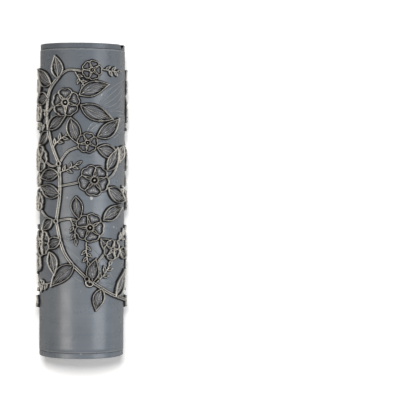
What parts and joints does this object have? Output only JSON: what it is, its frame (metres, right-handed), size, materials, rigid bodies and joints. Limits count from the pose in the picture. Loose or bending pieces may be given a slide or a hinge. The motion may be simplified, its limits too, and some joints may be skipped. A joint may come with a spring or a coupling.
{
  "type": "clay texture roller",
  "caption": "Hollow hand roller whose grey sleeve carries a raised leaf and blossom vine, with pull-off end caps and rod bushes.",
  "frame": {"origin": "centre of the roller, on its axis, halfway between the end faces", "axes": "+Y along the roller towards the notched rear end, which is the top of the picture; +Z out of the side that faces the camera; +X to the picture's right"},
  "size_m": [0.0452, 0.152, 0.0454],
  "materials": {
    "printed_sleeve": "satin",
    "printed_cap": "satin",
    "core_plastic": "satin",
    "bush_plastic": "satin",
    "ring_rubber": "matte"
  },
  "bodies": {
    "sleeve": {"texture_sleeve": "printed_sleeve"},
    "core": {"core_tube": "core_plastic"},
    "front_cap": {"front_end_cap": "printed_cap", "front_rod_bush": "bush_plastic", "front_cap_o_ring_1": "ring_rubber", "front_cap_o_ring_2": "ring_rubber"},
    "rear_cap": {"rear_end_cap": "printed_cap", "rear_rod_bush": "bush_plastic", "rear_cap_o_ring_1": "ring_rubber", "rear_cap_o_ring_2": "ring_rubber"}
  },
  "joints": [
    {"name": "core_draw", "type": "slide", "parent": "sleeve", "child": "core", "axis": [0, -1, 0], "range_m": [0, 0.15]},
    {"name": "front_cap_pull", "type": "slide", "parent": "core", "child": "front_cap", "axis": [0, -1, 0], "range_m": [0, 0.016]},
    {"name": "rear_cap_pull", "type": "slide", "parent": "sleeve", "child": "rear_cap", "axis": [0, 1, 0], "range_m": [0, 0.016]}
  ]
}
